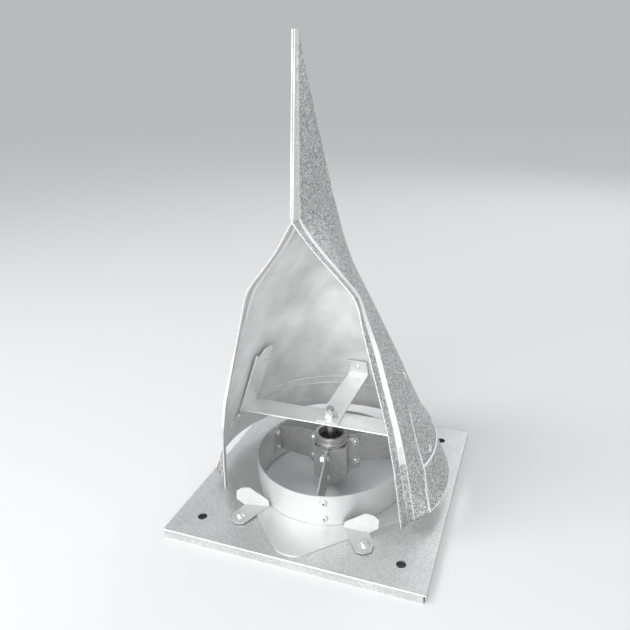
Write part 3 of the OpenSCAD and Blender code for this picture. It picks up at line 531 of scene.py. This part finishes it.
def plate_rim(a, b):
    """True for the edges round the top of the base plate."""
    near = PLATE_HALF - 0.1
    return (min(a.z, b.z) > PLATE_TOP - 0.01 and max(abs(a.x), abs(a.y)) > near
            and max(abs(b.x), abs(b.y)) > near)


def collar_hole(a, b):
    """True for the collar plate's upper edges round the collar."""
    return (max(a.xy.length, b.xy.length) < COLLAR_R + 1.0
            and min(a.z, b.z) > PLATE_TOP + 0.8 * SHEET)


# The base plate's rounded top rim takes the pale bend zinc, a painted highlight.
dressed("base_plate", "base_tray", "base", BASE_ZINC, 0.15, 1,
        wide=(plate_rim, 1.5, BEND_HIGHLIGHT_ZINC))
# The chamfer round the collar's hole is painted dark as the shade of the gap at the collar.
dressed("collar_plate", "diamond_plate", "base", PLATE_ZINC, 0.3,
        wide=(collar_hole, 0.7, GAP_SHADE_DARK))
for side in ("front", "right", "left"):
    dressed("spoke_" + side, "spoke_strip_" + side, "base", SPOKE_STEEL, 0.2)
for clip in ("clip_front_right", "clip_front_left", "clip_rear_right", "clip_rear_left"):
    dressed(clip, clip.replace("clip", "turn_clip"), clip, CLIP_ZINC, 0.2)
dressed("crossbar", "cross_bar", "hood", BAR_STEEL, 0.3, drawn_in=(0, 0.8))
dressed("rear_arm", "back_arm", "hood", BAR_STEEL, 0.3, drawn_in=(1, 1.7))


# Blind rivets with the hole of their broken mandrel, and the fin's spot welds

def wall_at(h, y):
    """The point of the hood's right side at height h and depth y, and its outward direction."""
    def point(height, depth):
        outline = half_section(np.array([height]))[0][FLANK - 12:]
        order = np.argsort(outline[:, 1])
        return np.array([np.interp(depth, outline[order, 1], outline[order, 0]), depth, height])
    here = point(h, y)
    normal = np.cross(point(h, y + 1.0) - here, point(h + 1.0, y) - here)
    return here + np.array([0.0, 0.0, PLATE_TOP]), normal / np.linalg.norm(normal)


def blind_rivet(origin, direction, grip, tail):
    """A blind rivet standing on origin: its domed head with a sunk mandrel, its shank and the
    bulged tail. The mandrel hole comes as a second part."""
    body = [(0.0, -grip - tail - 0.6), (0.9, -grip - tail - 0.5), (1.0, -grip - tail),
            (1.9, -grip - tail), (2.7, -grip - 0.8 * tail), (2.9, -grip - 0.3 * tail),
            (2.6, -grip), (2.0, -grip), (2.0, 0.0), (3.95, 0.0), (4.0, 0.05), (3.8, 0.4),
            (3.2, 0.85), (2.3, 1.35), (1.5, 1.55), (1.1, 1.5), (0.95, 0.75), (0.0, 0.75)]
    hole = [(0.0, 0.7), (0.9, 0.7), (0.96, 0.78), (0.5, 0.8), (0.0, 0.85)]
    return tuple(placed(turned(profile, cols), origin, direction)
                 for profile, cols in ((body, 28), (hole, 16)))


def rivet_group(name, node, body, places):
    """All rivets of one CAD node as one piece, from (origin, direction, grip, tail) rows."""
    bodies, holes = zip(*[blind_rivet(*place) for place in places])
    # The mandrel holes are painted near black as painted shade.
    piece = mesh_piece(name, bodies + holes, body, [RIVET_STEEL, HOLE_SHADE_BLACK], 40.0)
    first_hole = sum(len(group) for _, groups in bodies for group in groups)
    look = np.arange(len(piece.data.polygons)) >= first_hole
    piece.data.polygons.foreach_set("material_index", look.astype(np.int32))
    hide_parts(node)


def round_the_axis(degrees, radius, h, slope=0.0):
    """A point at an angle, radius and height, with its outward direction."""
    x, y = math.cos(math.radians(degrees)), math.sin(math.radians(degrees))
    return (radius * x, radius * y, PLATE_TOP + h), (x, y, slope)


FIRST_RIVET, RIVET_HEIGHTS = -76.07, (8.5, 26.0)
ON_SHEET = 0.1
BAND_RIVET_H, ARM_RIVET_H, LEG_RIVET_H = 61.5, 85.0, 130.0
rivet_group("collar_rivets", "spoke_rivets", "base",
            [(*round_the_axis(FIRST_RIVET + 120.0 * spoke, COLLAR_R, h), 2.8, 2.6)
             for spoke in range(3) for h in RIVET_HEIGHTS])
rivet_group("band_rivets", "seam_rivets", "hood",
            [(*round_the_axis(a, cone_r(BAND_RIVET_H) + ON_SHEET, BAND_RIVET_H, CONE_TAPER),
              2.6, 2.2) for a in (-5.0, 185.0)])
leg_point, leg_normal = wall_at(LEG_RIVET_H, 0.0)
flip = np.array([-1.0, 1.0, 1.0])
arm_point, arm_normal = round_the_axis(90.0, cone_r(ARM_RIVET_H) + ON_SHEET, ARM_RIVET_H,
                                       CONE_TAPER)
rivet_group("carrier_rivets", "leg_rivets", "hood",
            [(leg_point, leg_normal, 5.0, 1.6), (leg_point * flip, leg_normal * flip, 5.0, 1.6),
             (arm_point, arm_normal, 5.2, 1.6)])

WELD_X = 1.3
WELDS = [(-50.9, 414.9), (-56.0, 379.2), (-60.9, 346.3), (-64.7, 316.8)]
# The weld dots take the pale bend zinc, a painted highlight.
weld_dot = turned([(0.0, 0.0), (1.3, 0.0), (1.2, 0.15), (0.7, 0.32), (0.0, 0.35)], 20)
mesh_piece("fin_welds", [placed(weld_dot, (side * WELD_X, y, PLATE_TOP + h), (side, 0.0, 0.0))
                         for y, h in WELDS for side in (-1.0, 1.0)],
           "hood", [BEND_HIGHLIGHT_ZINC], 60.0)

KEPT = {
    "collar": COLLAR_ZINC, "hub_screws": FASTENER_ZINC,
    "hub_nuts": FASTENER_ZINC, "hub_tube": HUB_STEEL, "bearing_outer_rings": RACE_STEEL,
    "bearing_shields": SPRING_STEEL, "hub_circlips": SPRING_STEEL, "clip_screws": FASTENER_ZINC,
    "clip_washers": FASTENER_ZINC, "clip_nuts": FASTENER_ZINC, "bearing_balls": RACE_STEEL,
    "bearing_cages": SPRING_STEEL, "shaft": SHAFT_STEEL, "bearing_inner_rings": RACE_STEEL,
    "spacer_sleeve": SHAFT_STEEL, "shaft_circlip": SPRING_STEEL, "lower_washer": FASTENER_ZINC,
    "lock_nut": FASTENER_ZINC, "top_washer": FASTENER_ZINC, "top_nut": FASTENER_ZINC}
for node, material in KEPT.items():
    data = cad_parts[node].data
    data.materials.clear()
    data.materials.append(material)


# Studio: pale floor, soft lamps and the camera of the photograph

def seen_or_lit(tree, seen, lit):
    """A colour that is seen for what the camera sees directly, and lit for all other light."""
    path = added(tree, "ShaderNodeLightPath")
    mix = added(tree, "ShaderNodeMixRGB", Color1=(*lit, 1.0), Color2=(*seen, 1.0))
    tree.links.new(path.outputs["Is Camera Ray"], mix.inputs["Fac"])
    return mix.outputs["Color"]


FLOOR_HALF = 30.0
floor_mesh = bpy.data.meshes.new("floor")
floor_mesh.from_pydata([(-FLOOR_HALF, -FLOOR_HALF, 0), (FLOOR_HALF, -FLOOR_HALF, 0),
                        (FLOOR_HALF, FLOOR_HALF, 0), (-FLOOR_HALF, FLOOR_HALF, 0)], [],
                       [(0, 1, 2, 3)])
floor = bpy.data.objects.new("floor", floor_mesh)
SCENE.collection.objects.link(floor)
paint = bpy.data.materials.new("floor_pale")
paint.use_nodes = True
matt = paint.node_tree.nodes["Principled BSDF"]
paint.node_tree.links.new(seen_or_lit(paint.node_tree, (0.8, 0.81, 0.82), (0.8, 0.8, 0.8)),
                          matt.inputs["Base Color"])
matt.inputs["Roughness"].default_value = 1.0
matt.inputs["Specular IOR Level"].default_value = 0.0
floor_mesh.materials.append(paint)

world = bpy.data.worlds.new("studio")
SCENE.world = world
world.use_nodes = True
sky = world.node_tree.nodes["Background"]
world.node_tree.links.new(seen_or_lit(world.node_tree, (0.78, 0.79, 0.8), (0.97, 0.985, 1.0)),
                          sky.inputs["Color"])
sky.inputs["Strength"].default_value = 0.62


def lamp(name, place, aim, size, power):
    """A soft lamp of (width, height) at place, aimed at a point, in metres."""
    light = bpy.data.lights.new(name, "AREA")
    light.shape = "RECTANGLE"
    light.energy = power
    light.size, light.size_y = size
    thing = bpy.data.objects.new(name, light)
    SCENE.collection.objects.link(thing)
    thing.location = place
    thing.rotation_euler = (Vector(aim) - Vector(place)).to_track_quat("-Z", "Y").to_euler()


lamp("front", (0.0, -1.5, 0.55), (0.0, 0.0, 0.3), (1.4, 0.8), 17.0)
lamp("key", (-0.9, -0.7, 1.4), (0.0, 0.0, 0.1), (0.7, 0.7), 10.0)
lamp("back", (0.5, 1.5, 1.2), (0.0, 0.0, 0.2), (1.0, 1.0), 5.0)

# The camera's place above the base plate's top, and its right, up and back directions
CAMERA_PLACE = (0.182573, -0.48969, 0.396188)
CAMERA_RIGHT = (0.944333, 0.32844, -0.019015)
CAMERA_UP = (-0.107608, 0.362983, 0.925562)
CAMERA_BACK = (0.310893, -0.871993, 0.378119)
camera_data = bpy.data.cameras.new("camera")
camera_data.sensor_width = 36.0
camera_data.lens = 34.234
camera_data.shift_x = -21.0 / 630.0
camera = bpy.data.objects.new("camera", camera_data)
SCENE.collection.objects.link(camera)
turn = Matrix((CAMERA_RIGHT, CAMERA_UP, CAMERA_BACK)).transposed()
place = Vector(CAMERA_PLACE) + Vector((0.0, 0.0, PLATE_TOP * MM))
camera.matrix_world = Matrix.Translation(place) @ turn.to_4x4()
SCENE.camera = camera
SCENE.view_settings.view_transform = "Standard"
